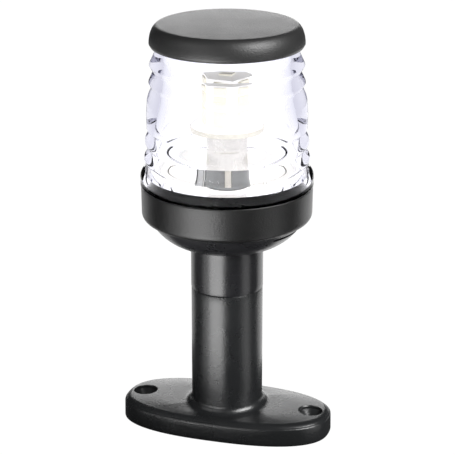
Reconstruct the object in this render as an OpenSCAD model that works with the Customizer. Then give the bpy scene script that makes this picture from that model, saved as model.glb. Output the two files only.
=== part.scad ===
// All-round navigation light on a short fixed pole.
// Millimetres. +Z runs up the pole's axis, +X along the foot's long axis,
// and z = 0 is the underside of the foot.

/* [Foot] */
// Length of the foot plate along X
foot_len = 81.4; // [78:0.2:90]
// Width of the foot plate along Y
foot_wid = 40; // [38:1:50]
// Height of the foot's upright side wall
foot_wall_h = 5.2; // [4:0.1:6]
// Radius of the rounding along the foot's top edge
foot_edge_r = 3.3; // [2:0.1:3.5]
// Height that the foot's top rises from its rounded edge to the pole
foot_crown = 0.6; // [0.5:0.1:1.5]
// Exponent of the foot's oval outline: 2 is an ellipse, more is squarer
foot_power = 2.5; // [2.2:0.02:3.5]
// Radius of the fillet between the foot and the pole
foot_fillet = 3.2; // [2:0.1:4]

/* [Fixing screws] */
// Distance between the two screw holes
screw_spacing = 67; // [60:0.5:68]
// Diameter of a screw hole
screw_hole_d = 4.7; // [4:0.1:5.5]
// Diameter of the countersink at its mouth
sink_d = 8.8; // [7:0.1:9.5]
// Height of the countersink's cylindrical mouth above the foot's underside
sink_z = 7.5; // [6:0.1:7.8]

/* [Pole] */
// Outside radius of the lower pole
shank_r = 13.5; // [13:0.05:14.5]
// Inside radius of the lower pole
shank_bore_r = 11.2; // [10.5:0.1:11.6]
// Outside radius of the upper pole
neck_r = 13.6; // [13:0.05:14.5]
// Inside radius of the upper pole
neck_bore_r = 9; // [8.5:0.1:9.4]
// Height of the seam between the lower and the upper pole
seam_z = 56.4; // [50:0.2:62]
// Length of the upper pole's spigot inside the lower pole
spigot_len = 10; // [8:0.5:12]

/* [Lamp housing] */
// Height at which the bowl grows out of the upper pole
bowl_low_z = 73.3; // [72:0.1:75]
// Height of the shoulder where the bowl meets the collar
bowl_top_z = 83.3; // [82:0.1:85]
// Radius of the bowl at that shoulder
bowl_r = 28.7; // [28.6:0.1:29]
// Bulge of the bowl's outline beyond a straight cone
bowl_bulge = 2.2; // [1:0.1:2.4]
// Outside radius of the rim that the collar slips over
rim_r = 28.2; // [27:0.1:28.4]
// Height of that rim's top
rim_z = 93; // [91:0.5:93.5]
// Outside radius of the collar
collar_r = 32; // [31.8:0.1:33]
// Height of the collar's top face
collar_z = 96.9; // [95.5:0.1:98]
// Radius of the rounding at the collar's lower edge
collar_edge_r = 2.8; // [1:0.1:2.8]

/* [Lens and cap] */
// Largest radius of the lens, at its skirt
lens_skirt_r = 32.2; // [31.5:0.1:32.5]
// Radius of the lens's plain middle band
lens_band_r = 29.7; // [29:0.1:30]
// Inside radius at the lens's open end
lens_in_r = 27.3; // [26.5:0.1:27.8]
// Inside radius at the top of the lens's hollow
lens_in_top_r = 21.2; // [19:0.1:23]
// Height of the ceiling of the lens's hollow
lens_ceiling_z = 149.2; // [144.5:0.1:149.5]
// Height of the lens's flat top under the cap
lens_top_z = 151.5; // [151:0.1:152]
// Largest radius of the cap
cap_r = 28.5; // [28:0.1:29.5]
// Height of the cap's lower edge
cap_low_z = 149.2; // [149:0.1:150]
// Height of the cap's top at its rim
cap_rim_z = 157.3; // [156.5:0.1:159]
// Height that the cap's top is domed
cap_dome = 0.5; // [0.2:0.1:1]

/* [Lamp] */
// Radius of the lamp's bayonet cap
lamp_cap_r = 7.6; // [7.5:0.05:7.7]
// Radius of the lamp's disc
lamp_disc_r = 13.6; // [12:0.1:15]
// Height of the disc's underside
lamp_disc_z = 118; // [115:0.5:120]
// Radius over the corners of the six-sided light tower
tower_r = 9.6; // [8:0.1:11]
// Height of the tower's top
tower_z = 137.6; // [134:0.2:138]
// How far the lamp is pushed in to free it
push_travel = 1.5; // [1:0.1:2]
// Angle that the lamp then turns
twist_angle = 20; // [15:1:25]

/* [Hidden] */
$fn = 96;

// A small overlap that lets a cut run past a face
cut = 1;
// Gap between pieces that slide past each other
slide_gap = 0.3;
// Gap left where two moulded edges meet, seen as a fine line
line_gap = 0.25;

// Foot
foot_top_z = foot_wall_h + foot_edge_r + foot_crown;
foot_floor_z = 6;
crown_inset = 8;
fillet_sink = 0.35;
outline_points = 64;
slab = 0.2;
gasket_in_r = 12;
gasket_out_r = 16.5;
gasket_h = 1.6;

// Cable grommet
grommet_bore_r = 3;
grommet_r = 6;
grommet_flange_r = 8;
grommet_top_z = foot_floor_z + 1.6;
grommet_low_z = 0.3;

// Terminal block inside the lower pole
block_low_z = 29;
block_top_z = 42;
block_len = 17;
block_wid = 10;
clamp_x = 4;
clamp_r = 2.4;
clamp_bore_r = 1.5;
clamp_end_gap = 1;
clamp_screw_r = 1.2;
clamp_screw_len = 3.4;
clamp_screw_well_r = 1.8;
screw_slot_w = 0.4;
screw_slot_depth = 0.6;
clamp_screw_rise = 3.2;
block_rib_w = 2.4;
block_rib_low_z = 26;

// Leads from the lamp holder to the terminal block
lead_r = 0.9;
lead_low_z = block_top_z - 4;
lead_sides = 10;
lead_rings = 24;
lead_sway = 2.2;

// Bowl, inside
bowl_floor_z = 76.6;
bowl_floor_r = 16.4;
bowl_in_r = 23.8;
rim_in_r = 25.6;
ledge_z = 91.5;
boss_x = 14.5;
boss_r = 3.2;
boss_top_z = 78.4;
boss_hole_r = 1.5;
boss_hole_z = 75;
seam_chamfer = 0.3;

// Slot for a screwdriver's blade, under the collar
pry_angle = -19.4;
pry_len = 15;
pry_depth_r = 25.9;
pry_h = 1.2;
pry_z = 80.9;

// O-ring on the spigot
oring_r = 0.62;
oring_mid_r = 10.55;
oring_z = 51;
groove_r = 9.9;
groove_h = 1.6;

// Lamp holder
holder_x = 3.2;
holder_out_r = 8.4;
holder_in_r = 7.9;
holder_low_z = 79.2;
holder_top_z = 103.5;
plate_r = 9.5;
plate_t = 0.8;
plate_hole_r = 6;
tab_w = 6;
upright_x = -11.4;
upright_y = -2.5;
upright_w = 6;
upright_top_z = 101;
bracket_screw_head_r = 2.8;
bracket_screw_head_h = 2.1;
bracket_screw_r = 1.45;
cross_len = 3.2;
cross_w = 0.7;
insulator_top_z = 86.2;
well_r = 2.4;
well_z = 80.4;
terminal_r = 2.2;
terminal_t = 0.6;
tail_r = 0.8;
tail_z = 77.4;

// Spring-loaded contacts
contact_head_r = 2;
contact_low_z = 86;
contact_top_z = 88;
contact_stem_r = 1.1;
contact_stem_z = 83;
spring_out_r = 1.95;
spring_in_r = 1.35;

// Bayonet pins sit at two heights, half a turn apart
pin_r = 1;
pin_reach = 8.75;
pin_root = 0.8;
pin_heights = [95.6, 98.6];
pin_angles = [90, 270];
slot_w = 2 * pin_r + 2 * slide_gap;

// Lamp
lamp_wall = 0.5;
lamp_low_z = 89.5;
lamp_base_z = 88.7;
lamp_base_top_z = 92;
pad_r = 1.6;
pad_z = 88.1;
disc_t = 1.6;
chip_w = 5;
chip_t = 0.9;
chip_rows = 3;
chip_pitch = 5.7;
chip_first_z = 123.2;

// Deck under the lens
deck_r = 25.3;
deck_flange_in_r = 21.5;
deck_t = 1.6;
deck_hole_r = 8.8;
deck_top_z = 94.7;
deck_wall_t = 1;
deck_wall_z = 96.8;
deck_cove_r = 22.9;

// Collar, inside
collar_shelf_r = 26;
collar_shelf_z = 94.2;

// Upstand on the collar, which the lens's skirt slips over
upstand_r = 29.8;
upstand_in_r = 28.6;
upstand_z = 100.7;
seat_gap = 0.1;

// Cap, inside
cap_edge_r = 27.95;
cap_widest_z = 150.3;
cap_flat_r = 24.9;
cap_in_r = 26.1;
cap_shelf_r = 22;
cap_ceiling_z = 155.2;
lens_neck_r = 26.6;
lens_spigot_r = cap_in_r - 0.1;
arc_steps = 12;

// Point on an oval outline with half axes a and b
function oval(a, b, t) = [
  a * sign(cos(t)) * pow(abs(cos(t)), 2 / foot_power),
  b * sign(sin(t)) * pow(abs(sin(t)), 2 / foot_power)
];

// Points of an arc about [x, z] from angle a0 to angle a1
function arc(x, z, r, a0, a1, steps = arc_steps) = [
  for (i = [0 : steps])
    let (a = a0 + (a1 - a0) * i / steps)
    [x + r * cos(a), z + r * sin(a)]
];

// Points of a bowed line from p to q, standing out by bulge at its middle
function bowed(p, q, bulge, steps = arc_steps) =
  let (d = q - p, n = [d[1], -d[0]] / norm(d))
  [for (i = [0 : steps]) let (u = i / steps) p + d * u + n * 4 * bulge * u * (1 - u)];

// Points of one rounded lens ridge, from its lower valley to its upper valley
function round_ridge(z0, z1, valley_r, peak_r) = [
  for (i = [0 : arc_steps])
    let (u = i / arc_steps)
    [valley_r + (peak_r - valley_r) * sin(180 * u), z0 + (z1 - z0) * u]
];

// Points of the lens's tapering hollow, from its open end up to its ceiling
function hollow_side(z0, z1) = [
  for (i = [0 : arc_steps])
    let (u = i / arc_steps)
    [lens_in_r + (lens_in_top_r - lens_in_r) * pow(sin(90 * u), 1.15), z0 + (z1 - z0) * u]
];

module foot_layer(inset, z) {
  translate([0, 0, z])
    linear_extrude(slab)
      polygon([
        for (i = [0 : outline_points - 1])
          oval(foot_len / 2 - inset, foot_wid / 2 - inset, 360 * i / outline_points)
      ]);
}

module foot_plate() {
  hull() {
    foot_layer(0, 0);
    for (a = [0 : 22.5 : 90])
      foot_layer(foot_edge_r * (1 - cos(a)), foot_wall_h - slab + foot_edge_r * sin(a));
    foot_layer(foot_edge_r + crown_inset, foot_top_z - slab);
  }
}

module tube(r_out, r_in, z0, z1) {
  difference() {
    translate([0, 0, z0]) cylinder(r = r_out, h = z1 - z0);
    translate([0, 0, z0 - cut]) cylinder(r = r_in, h = z1 - z0 + 2 * cut);
  }
}

module post(r, z0, z1) {
  translate([0, 0, z0]) cylinder(r = r, h = z1 - z0);
}

module screw_hole() {
  translate([0, 0, -cut]) cylinder(d = screw_hole_d, h = foot_top_z + 2 * cut);
  translate([0, 0, sink_z - (sink_d - screw_hole_d) / 2])
    cylinder(d1 = screw_hole_d, d2 = sink_d, h = (sink_d - screw_hole_d) / 2);
  translate([0, 0, sink_z]) cylinder(d = sink_d, h = foot_top_z);
}

module shank_fillet() {
  z = foot_top_z - fillet_sink;
  rotate_extrude()
    polygon(concat(
      [[shank_bore_r + 1, z - 2], [shank_r + foot_fillet, z - 2]],
      arc(shank_r + foot_fillet, z + foot_fillet, foot_fillet, 270, 180),
      [[shank_bore_r + 1, z + foot_fillet]]
    ));
}

module foot_shank() {
  color([0.07, 0.07, 0.075])
  difference() {
    union() {
      foot_plate();
      shank_fillet();
      rotate_extrude()
        polygon([
          [0, 1], [shank_r, 1], [shank_r, seam_z - seam_chamfer],
          [shank_r - seam_chamfer, seam_z], [0, seam_z]
        ]);
    }
    difference() {
      post(shank_bore_r, foot_floor_z, seam_z + cut);
      for (turn = [0, 180])
        rotate(turn)
          translate([-block_rib_w / 2, block_wid / 2, block_rib_low_z])
            cube([block_rib_w, shank_bore_r, block_top_z - block_rib_low_z]);
    }
    post(grommet_r, -cut, foot_floor_z + cut);
    tube(gasket_out_r, gasket_in_r, -cut, gasket_h);
    for (side = [-1, 1])
      translate([side * screw_spacing / 2, 0, 0]) screw_hole();
  }
}

module foot_gasket() {
  color([0.12, 0.12, 0.12])
    tube(gasket_out_r, gasket_in_r, 0, gasket_h);
}

module cable_grommet() {
  color([0.1, 0.1, 0.1])
  difference() {
    union() {
      post(grommet_r, grommet_low_z, foot_floor_z);
      post(grommet_flange_r, foot_floor_z, grommet_top_z);
    }
    post(grommet_bore_r, grommet_low_z - cut, grommet_top_z + cut);
  }
}

// The four clamping screws' places: two up each clamp
module at_clamp_screws() {
  for (side = [-1, 1], rise = [-1, 1])
    translate([side * clamp_x, 0, (block_low_z + block_top_z) / 2 + rise * clamp_screw_rise])
      children();
}

module terminal_block() {
  color([0.85, 0.85, 0.82])
  difference() {
    translate([-block_len / 2, -block_wid / 2, block_low_z])
      cube([block_len, block_wid, block_top_z - block_low_z]);
    for (side = [-1, 1])
      translate([side * clamp_x, 0, 0]) post(clamp_r, block_low_z - cut, block_top_z + cut);
    at_clamp_screws()
      rotate([90, 0, 0]) cylinder(r = clamp_screw_well_r, h = block_wid);
  }
}

module terminal_clamps() {
  color([0.78, 0.62, 0.3])
  difference() {
    for (side = [-1, 1])
      translate([side * clamp_x, 0, 0])
        tube(clamp_r, clamp_bore_r, block_low_z + clamp_end_gap, block_top_z - clamp_end_gap);
    at_clamp_screws()
      rotate([90, 0, 0]) cylinder(r = clamp_screw_r, h = block_wid);
  }
}

module terminal_screws() {
  color([0.7, 0.7, 0.68])
    at_clamp_screws()
      translate([0, -lead_r - 0.1, 0])
        rotate([90, 0, 0])
          difference() {
            cylinder(r = clamp_screw_r, h = clamp_screw_len);
            translate([-clamp_screw_r - cut, -screw_slot_w / 2, clamp_screw_len - screw_slot_depth])
              cube([2 * (clamp_screw_r + cut), screw_slot_w, cut]);
          }
}

// Centre of a lead at u, from 0 in its clamp to 1 at the holder's tail
function lead_x(side, u) = side * (clamp_x + (holder_x - clamp_x) * u);
function lead_y(u) = lead_sway * sin(180 * u) * sin(180 * u);
function lead_point(side, i) =
  let (u = i / lead_rings)
  [lead_x(side, u), lead_y(u), lead_low_z + (tail_z - lead_low_z) * u];

module lead(side) {
  rings = [
    for (i = [0 : lead_rings], k = [0 : lead_sides - 1])
      lead_point(side, i) + lead_r * [cos(360 * k / lead_sides), sin(360 * k / lead_sides), 0]
  ];
  walls = [
    for (i = [0 : lead_rings - 1], k = [0 : lead_sides - 1])
      let (n = (k + 1) % lead_sides, low = i * lead_sides, high = low + lead_sides)
      [low + k, high + k, high + n, low + n]
  ];
  ends = [
    [for (k = [0 : lead_sides - 1]) k],
    [for (k = [lead_sides - 1 : -1 : 0]) lead_rings * lead_sides + k]
  ];
  polyhedron(points = rings, faces = concat(walls, ends), convexity = 4);
}

module lead_positive() { color([0.7, 0.08, 0.06]) lead(1); }

module lead_negative() { color([0.08, 0.08, 0.08]) lead(-1); }

module neck_bowl_profile() {
  spigot_z = seam_z - spigot_len;
  spigot_r = shank_bore_r - 0.1;
  polygon(concat(
    [
      [neck_bore_r, spigot_z], [spigot_r - 0.6, spigot_z], [spigot_r, spigot_z + 0.6],
      [spigot_r, oring_z - groove_h / 2], [groove_r, oring_z - groove_h / 2],
      [groove_r, oring_z + groove_h / 2], [spigot_r, oring_z + groove_h / 2],
      [spigot_r, seam_z], [neck_r - seam_chamfer, seam_z],
      [neck_r, seam_z + seam_chamfer]
    ],
    bowed([neck_r, bowl_low_z], [bowl_r, bowl_top_z], bowl_bulge),
    [
      [rim_r, bowl_top_z], [rim_r, rim_z - 0.5], [rim_r - 0.5, rim_z],
      [rim_in_r, rim_z], [rim_in_r, ledge_z], [bowl_in_r, ledge_z]
    ],
    arc(bowl_floor_r, bowl_floor_z + bowl_in_r - bowl_floor_r, bowl_in_r - bowl_floor_r, 0, -90),
    [[neck_bore_r, bowl_floor_z]]
  ));
}

module neck_bowl() {
  color([0.07, 0.07, 0.075])
  difference() {
    union() {
      rotate_extrude() neck_bowl_profile();
      for (side = [-1, 1])
        translate([side * boss_x, 0, 0]) post(boss_r, bowl_floor_z - 0.8, boss_top_z);
    }
    for (side = [-1, 1])
      translate([side * boss_x, 0, 0]) post(boss_hole_r, boss_hole_z, boss_top_z + cut);
    rotate(pry_angle)
      translate([pry_depth_r, -pry_len / 2, pry_z])
        cube([2 * pry_h + cut, pry_len, pry_h]);
  }
}

module spigot_oring() {
  color([0.1, 0.1, 0.1])
    rotate_extrude()
      translate([oring_mid_r, oring_z]) circle(r = oring_r, $fn = 32);
}

module socket_bracket() {
  color([0.72, 0.73, 0.72])
  difference() {
    union() {
      post(plate_r, boss_top_z, boss_top_z + plate_t);
      translate([-boss_x - boss_r, -tab_w / 2, boss_top_z])
        cube([2 * (boss_x + boss_r), tab_w, plate_t]);
      translate([upright_x, upright_y, boss_top_z])
        cube([plate_t, upright_w, upright_top_z - boss_top_z]);
      translate([upright_x, upright_y, boss_top_z + plate_t])
        cube([-upright_x, plate_t, upright_top_z - boss_top_z - plate_t]);
    }
    post(plate_hole_r, boss_top_z - cut, boss_top_z + plate_t + cut);
    post(holder_out_r, holder_low_z, holder_top_z + cut);
    for (side = [-1, 1])
      translate([side * boss_x, 0, 0]) post(boss_hole_r + 0.2, boss_top_z - cut, boss_top_z + 2);
  }
}

module bracket_screws() {
  color([0.7, 0.7, 0.7])
    for (side = [-1, 1])
      translate([side * boss_x, 0, 0])
        difference() {
          union() {
            post(bracket_screw_r, boss_hole_z + 0.2, holder_low_z);
            translate([0, 0, holder_low_z]) pan_head();
          }
          for (a = [0, 90])
            rotate(a)
              translate([-cross_len / 2, -cross_w / 2, holder_low_z + 1])
                cube([cross_len, cross_w, bracket_screw_head_h]);
        }
}

module pan_head() {
  r = bracket_screw_head_r;
  h = bracket_screw_head_h;
  rotate_extrude()
    polygon(concat([[0, 0], [r, 0]], arc(r - 1, h - 1, 1, 0, 90, 6), [[0, h]]));
}

// A bayonet slot: a window that the pin turns through, and a way up and out
module bayonet_slot(pin_z) {
  low_z = pin_z - pin_r - push_travel - slide_gap;
  high_z = pin_z + pin_r + slide_gap;
  half_angle = asin(slot_w / 2 / holder_in_r);
  rotate([0, 0, -half_angle])
    rotate_extrude(angle = twist_angle + 2 * half_angle)
      translate([holder_in_r - cut, low_z]) square([2 * cut + 1, high_z - low_z]);
  rotate([0, 0, twist_angle - half_angle])
    rotate_extrude(angle = 2 * half_angle)
      translate([holder_in_r - cut, low_z]) square([2 * cut + 1, holder_top_z - low_z + cut]);
}

module socket_shell() {
  color([0.75, 0.76, 0.76])
  difference() {
    tube(holder_out_r, holder_in_r, holder_low_z, holder_top_z);
    for (i = [0, 1])
      rotate(pin_angles[i]) bayonet_slot(pin_heights[i]);
  }
}

module at_contacts() {
  for (side = [-1, 1])
    translate([side * holder_x, 0, 0]) children();
}

module socket_insulator() {
  color([0.45, 0.27, 0.15])
  difference() {
    post(holder_in_r, holder_low_z, insulator_top_z);
    at_contacts() post(well_r, well_z, insulator_top_z + cut);
    at_contacts() post(tail_r, holder_low_z - cut, well_z + cut);
  }
}

module socket_terminals() {
  color([0.78, 0.62, 0.3])
    at_contacts() {
      post(terminal_r, well_z, well_z + terminal_t);
      post(tail_r, tail_z, well_z);
    }
}

module contact_springs() {
  color([0.6, 0.6, 0.6])
    at_contacts() tube(spring_out_r, spring_in_r, well_z + terminal_t, contact_low_z);
}

module contact_plungers() {
  color([0.8, 0.65, 0.32])
    at_contacts() {
      rotate_extrude()
        polygon([
          [0, contact_stem_z], [contact_stem_r, contact_stem_z],
          [contact_stem_r, contact_low_z], [contact_head_r, contact_low_z],
          [contact_head_r, contact_top_z - 0.6], [contact_head_r - 0.6, contact_top_z],
          [0, contact_top_z]
        ]);
    }
}

module reflector_deck() {
  color([0.95, 0.95, 0.94])
  difference() {
    rotate_extrude()
      polygon([
        [deck_hole_r, deck_top_z], [deck_hole_r, deck_top_z - deck_t],
        [deck_flange_in_r - 0.6, deck_top_z - deck_t], [deck_flange_in_r, ledge_z],
        [deck_r, ledge_z], [deck_r, deck_wall_z - 0.3], [deck_r - 0.3, deck_wall_z],
        [deck_r - deck_wall_t, deck_wall_z], [deck_r - deck_wall_t, deck_top_z + 1.2],
        [deck_cove_r, deck_top_z]
      ]);
    translate([upright_x - slide_gap, upright_y - slide_gap, ledge_z])
      cube([-upright_x, upright_w + 2 * slide_gap, 4]);
  }
}

module collar() {
  r = collar_r;
  e = collar_edge_r;
  low_z = bowl_top_z + line_gap;
  in_r = rim_r + slide_gap;
  color([0.06, 0.06, 0.065])
    rotate_extrude()
      polygon(concat(
        [[in_r, low_z]],
        arc(r - 0.15 - e, low_z + e, e, -90, 0),
        [
          [r, collar_z - 0.5], [r - 0.2, collar_z - 0.15], [r - 0.45, collar_z],
          [upstand_r, collar_z], [upstand_r, upstand_z - 0.2], [upstand_r - 0.2, upstand_z],
          [upstand_in_r, upstand_z], [upstand_in_r, collar_z],
          [collar_shelf_r, collar_z], [collar_shelf_r, collar_shelf_z], [in_r, collar_shelf_z]
        ]
      ));
}

module head_gasket() {
  color([0.25, 0.25, 0.25])
    tube(rim_r, collar_shelf_r + 0.2, rim_z + 0.1, collar_shelf_z);
}

module lens_gasket() {
  color([0.88, 0.88, 0.86])
    tube(upstand_in_r - seat_gap, collar_shelf_r, collar_z, upstand_z + seat_gap);
}

module lens_outline() {
  side_top_z = lens_ceiling_z - 6;
  seat_z = upstand_z + seat_gap;
  skirt_in_r = upstand_r + seat_gap;
  polygon(concat(
    [[lens_in_r, seat_z], [skirt_in_r, seat_z], [skirt_in_r, collar_z]],
    [[lens_skirt_r - 0.35, collar_z], [lens_skirt_r - 0.05, collar_z + 0.3], [lens_skirt_r - 0.2, 98]],
    arc(lens_skirt_r - 3, 100, 3, 0, 62, 8),
    round_ridge(104.2, 110.1, 28.7, 30.7),
    round_ridge(110.4, 117.2, 28.5, 30.3),
    [[lens_band_r - 0.1, 118.5], [lens_band_r + 0.05, 124], [lens_band_r - 0.3, 129]],
    [[lens_band_r - 0.7, 130.8], [27.65, 133.8]],
    [[28.7, 135.8], [28.65, 136.2], [26.95, 139.9]],
    [[28.4, 142.3], [28.35, 142.7], [lens_neck_r, 146.4]],
    [[lens_neck_r, cap_low_z - 0.4], [lens_spigot_r, cap_low_z - 0.1]],
    [[lens_spigot_r, lens_top_z], [0, lens_top_z]],
    [[0, lens_ceiling_z + 0.8], [8, lens_ceiling_z + 0.5]],
    arc(lens_in_top_r - 6, side_top_z, 6, 90, 0),
    [for (i = [arc_steps - 1 : -1 : 0]) hollow_side(seat_z, side_top_z)[i]]
  ));
}

module lens() {
  color([0.9, 0.92, 1, 0.35])
    rotate_extrude() lens_outline();
}

module cap() {
  z_rise = cap_rim_z - cap_widest_z;
  color([0.1, 0.1, 0.1])
    rotate_extrude()
      polygon(concat(
        [[cap_in_r, cap_low_z], [cap_edge_r, cap_low_z]],
        [
          for (i = [0 : arc_steps])
            let (a = 90 * i / arc_steps)
            [cap_flat_r + (cap_r - cap_flat_r) * cos(a), cap_widest_z + z_rise * sin(a)]
        ],
        [
          for (i = [1 : arc_steps])
            let (u = 1 - i / arc_steps)
            [cap_flat_r * u, cap_rim_z + cap_dome * (1 - u * u)]
        ],
        [[0, cap_ceiling_z], [cap_shelf_r - 1.5, cap_ceiling_z], [cap_shelf_r, cap_ceiling_z - 1.5],
         [cap_shelf_r, lens_top_z], [cap_in_r, lens_top_z]]
      ));
}

// The bayonet pins' shanks, from inside the lamp's cap out to a reach
module pin_shanks(reach) {
  root_r = lamp_cap_r - lamp_wall - pin_root;
  for (i = [0, 1])
    rotate([0, 0, pin_angles[i]])
      translate([root_r, 0, pin_heights[i]])
        rotate([0, 90, 0]) cylinder(r = pin_r, h = reach - root_r);
}

module lamp_cap() {
  color([0.8, 0.81, 0.8])
  difference() {
    tube(lamp_cap_r, lamp_cap_r - lamp_wall, lamp_low_z, lamp_disc_z);
    pin_shanks(lamp_cap_r + cut);
  }
}

module lamp_pins() {
  color([0.78, 0.79, 0.78]) pin_shanks(pin_reach);
}

module lamp_base() {
  color([0.12, 0.12, 0.13])
    post(lamp_cap_r - lamp_wall, lamp_base_z, lamp_base_top_z);
}

module lamp_pads() {
  color([0.72, 0.72, 0.7])
    at_contacts()
      rotate_extrude()
        polygon([
          [0, pad_z], [pad_r - 0.4, pad_z], [pad_r, pad_z + 0.3],
          [pad_r, lamp_base_z], [0, lamp_base_z]
        ]);
}

module lamp_disc() {
  color([0.93, 0.91, 0.82])
    post(lamp_disc_r, lamp_disc_z, lamp_disc_z + disc_t);
}

module lamp_tower() {
  color([0.95, 0.95, 0.93])
    translate([0, 0, lamp_disc_z + disc_t])
      cylinder(r = tower_r, h = tower_z - lamp_disc_z - disc_t, $fn = 6);
}

module led_chips() {
  face_r = tower_r * cos(30);
  color([0.97, 0.87, 0.45]) {
    for (a = [30 : 60 : 330], row = [0 : chip_rows - 1])
      rotate(a)
        translate([face_r, -chip_w / 2, chip_first_z - chip_w / 2 + row * chip_pitch])
          cube([chip_t, chip_w, chip_w]);
    translate([-chip_w / 2, -chip_w / 2, tower_z]) cube([chip_w, chip_w, chip_t]);
  }
}

foot_shank();
foot_gasket();
cable_grommet();
terminal_block();
terminal_clamps();
terminal_screws();
lead_positive();
lead_negative();
neck_bowl();
spigot_oring();
socket_bracket();
bracket_screws();
socket_shell();
socket_insulator();
socket_terminals();
contact_springs();
reflector_deck();
collar();
head_gasket();
lens_gasket();
lens();
cap();
contact_plungers();
lamp_cap();
lamp_pins();
lamp_base();
lamp_pads();
lamp_disc();
lamp_tower();
led_chips();
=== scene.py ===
"""Looks of the all-round navigation light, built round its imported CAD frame.

Outlines are written in millimetres as (radius, height) points about the pole's axis.
"""

import math

import bmesh
import bpy
from mathutils import Matrix, Vector


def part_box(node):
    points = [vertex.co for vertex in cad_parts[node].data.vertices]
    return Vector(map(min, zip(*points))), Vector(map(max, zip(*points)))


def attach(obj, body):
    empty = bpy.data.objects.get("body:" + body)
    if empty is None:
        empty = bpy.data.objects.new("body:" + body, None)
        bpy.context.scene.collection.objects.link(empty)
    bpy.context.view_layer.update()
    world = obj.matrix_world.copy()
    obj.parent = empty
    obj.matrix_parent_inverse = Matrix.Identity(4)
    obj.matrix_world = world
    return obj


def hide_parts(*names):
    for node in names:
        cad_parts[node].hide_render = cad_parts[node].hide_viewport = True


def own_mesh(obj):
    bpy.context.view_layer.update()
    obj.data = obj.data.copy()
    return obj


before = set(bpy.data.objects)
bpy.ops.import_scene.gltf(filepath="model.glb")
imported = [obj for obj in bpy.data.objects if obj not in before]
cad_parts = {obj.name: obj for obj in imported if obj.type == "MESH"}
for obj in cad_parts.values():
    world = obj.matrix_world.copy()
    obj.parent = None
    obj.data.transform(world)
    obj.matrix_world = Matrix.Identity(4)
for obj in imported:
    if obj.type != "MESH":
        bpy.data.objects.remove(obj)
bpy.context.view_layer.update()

MM = 0.001
TURN = 2 * math.pi


def low(node):
    """Lowest corner of a CAD node, in millimetres."""
    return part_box(node)[0] / MM


def high(node):
    """Highest corner of a CAD node, in millimetres."""
    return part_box(node)[1] / MM


# ---------------------------------------------------------------- sizes, in mm
# Foot and pole
FOOT_HALF_X = high("foot_shank").x
FOOT_HALF_Y = high("foot_shank").y
FOOT_POWER = 2.5
FOOT_WALL = 5.2
FOOT_EDGE = 3.3
FOOT_EDGE_LINE = math.radians(36)
FOOT_CROWN = 0.6
FOOT_FILLET = 3.2
FOOT_FLOOR = 6.0
INLET_R = 6.0
SCREW_X = 33.5
SCREW_HOLE_R = 2.35
SINK_R = 4.4
SINK_Z = 7.5
SEAM_Z = high("foot_shank").z
SHANK_R = 13.5
SHANK_BORE_R = 11.2
NECK_R = 13.6
NECK_BORE_R = 9.0
SPIGOT_LOW = low("neck_bowl").z
GROOVE_R = 9.9
GROOVE_LOW = 50.2
GROOVE_TOP = 51.8

# Housing
BOWL_R = high("neck_bowl").x
BOWL_LOW = 73.3
BOWL_BULGE = 2.2
BOWL_FLOOR = 76.6
BOWL_CORNER = 7.4
BOWL_IN_R = 23.8
BOWL_LEDGE = 91.5
SHOULDER_Z = 83.3
RIM_R = 28.2
RIM_TOP = high("neck_bowl").z
PRY_ANGLE = math.radians(-19.4)
PRY_LENGTH = 15.0
PRY_HEIGHT = 1.2
PRY_LOW = 80.9
PRY_DEPTH_R = 25.9
COLLAR_R = high("collar").x
COLLAR_LOW = low("collar").z
COLLAR_JOINT = low("lens").z
SHELF_R = 26.0
SHELF_LOW = 94.2

# Lens and cap
LENS_SKIRT_R = high("lens").x
LENS_BAND_R = 29.7
LENS_NECK_R = 26.6
LENS_IN_R = 27.3
UPSTAND_R = 29.8
UPSTAND_IN_R = 28.6
UPSTAND_TOP = 100.7
LENS_SEAT = 100.8
LENS_IN_TOP_R = 21.2
LENS_CEILING = 149.2
LENS_TOP = high("lens").z
LENS_RIDGES = ((104.2, 110.1, 28.7, 30.7), (110.4, 117.2, 28.5, 30.3))
PARTING_ANGLE = math.radians(-44.4)
CAP_R = high("cap").x
CAP_LOW = low("cap").z
CAP_TOP = high("cap").z


# ------------------------------------------------------------------- materials
def node_material(name):
    """A new material with its Principled shader, and a function that adds nodes."""
    material = bpy.data.materials.new(name)
    material.use_nodes = True
    tree = material.node_tree
    shader = tree.nodes["Principled BSDF"]

    def add(kind, **sockets):
        node = tree.nodes.new(kind)
        for key, value in sockets.items():
            node.inputs[key.replace("_", " ")].default_value = value
        return node

    return material, tree, shader, add


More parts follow.
